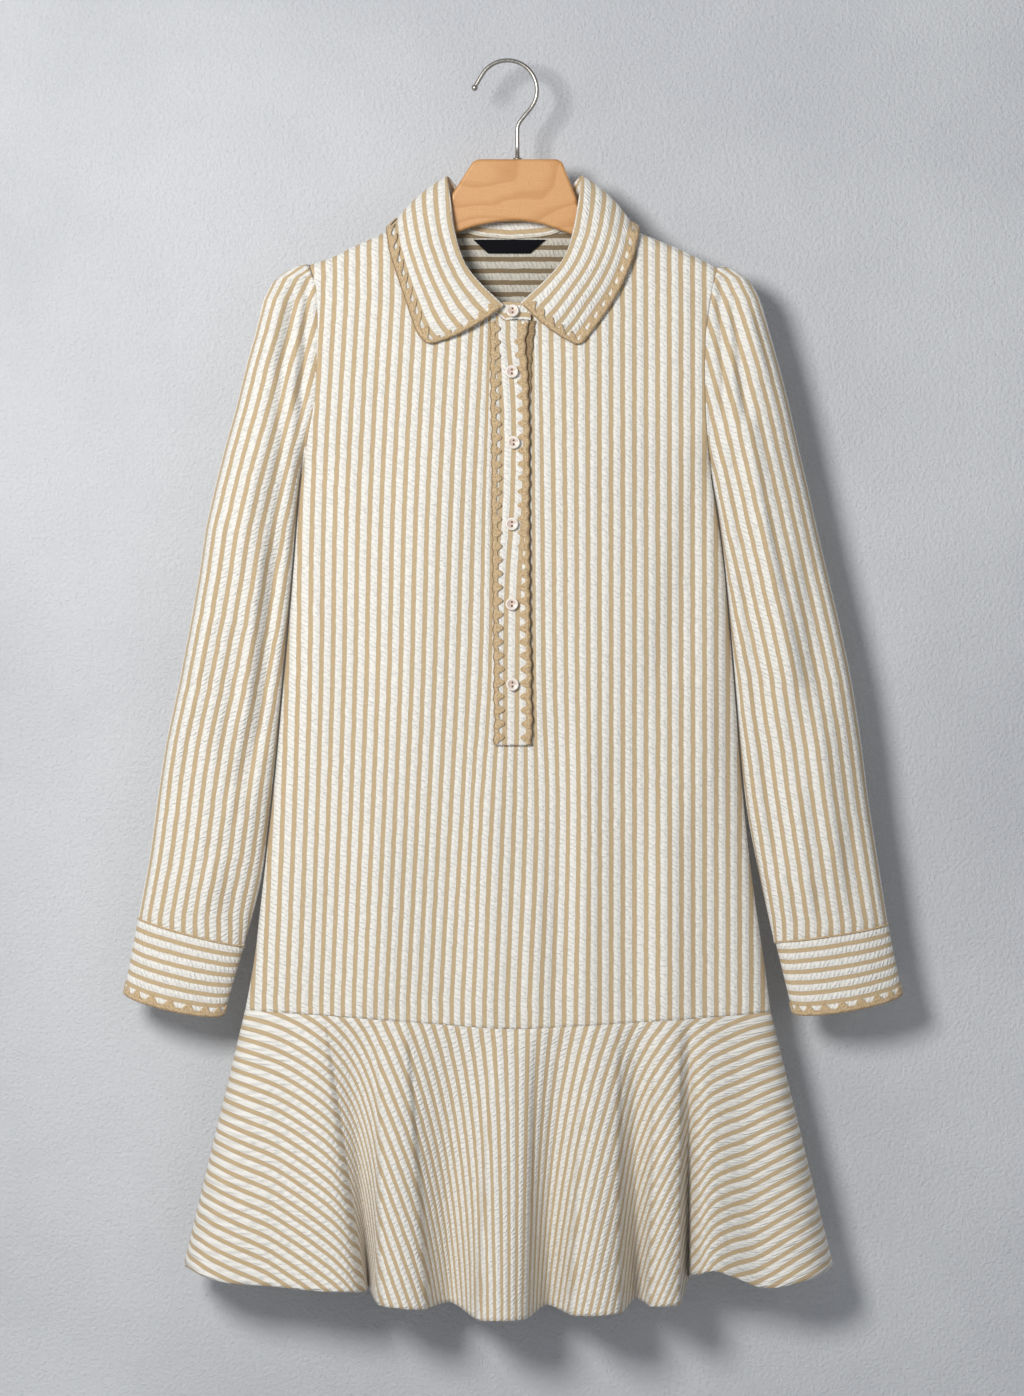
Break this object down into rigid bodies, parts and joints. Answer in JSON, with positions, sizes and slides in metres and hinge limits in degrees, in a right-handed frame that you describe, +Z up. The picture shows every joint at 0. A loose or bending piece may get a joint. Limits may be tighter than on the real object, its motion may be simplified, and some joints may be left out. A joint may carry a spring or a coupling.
{
  "type": "babydoll shirt dress on a wooden hanger",
  "caption": "Long-sleeved striped shirt dress with a pointed collar, short placket, dropped waist and circular flounce, hung on a wooden hanger with a metal hook.",
  "frame": {"origin": "underside of the crown of the hanger's hook, where a rail carries it", "axes": "+Z up along the hanging dress, the dress's front faces -Y, +X to the right as seen from the front"},
  "size_m": [0.6642, 0.0886, 1.0726],
  "materials": {
    "striped_seersucker": "puckered cotton, white and tan stripes",
    "beige_tape": "woven tape",
    "cream_button": "soft gloss",
    "black_satin": "satin",
    "beech_wood": "satin varnish",
    "brushed_nickel": "satin"
  },
  "bodies": {
    "root": {"front_panel": "striped_seersucker", "back_panel": "striped_seersucker", "back_yoke": "striped_seersucker", "flounce_front": "striped_seersucker", "flounce_back": "striped_seersucker", "sleeve_left": "striped_seersucker", "sleeve_right": "striped_seersucker", "cuff_left": "striped_seersucker", "cuff_right": "striped_seersucker", "collar_stand": "striped_seersucker", "collar_fall": "striped_seersucker", "placket_over": "striped_seersucker", "placket_under": "beige_tape", "placket_trim_left": "beige_tape", "placket_trim_right": "beige_tape", "collar_trim": "beige_tape", "cuff_trim_left": "beige_tape", "cuff_trim_right": "beige_tape", "button_0": "cream_button", "button_1": "cream_button", "button_2": "cream_button", "button_3": "cream_button", "button_4": "cream_button", "button_5": "cream_button", "neck_label": "black_satin", "hanger_wood": "beech_wood", "hanger_hook": "brushed_nickel"}
  },
  "joints": []
}
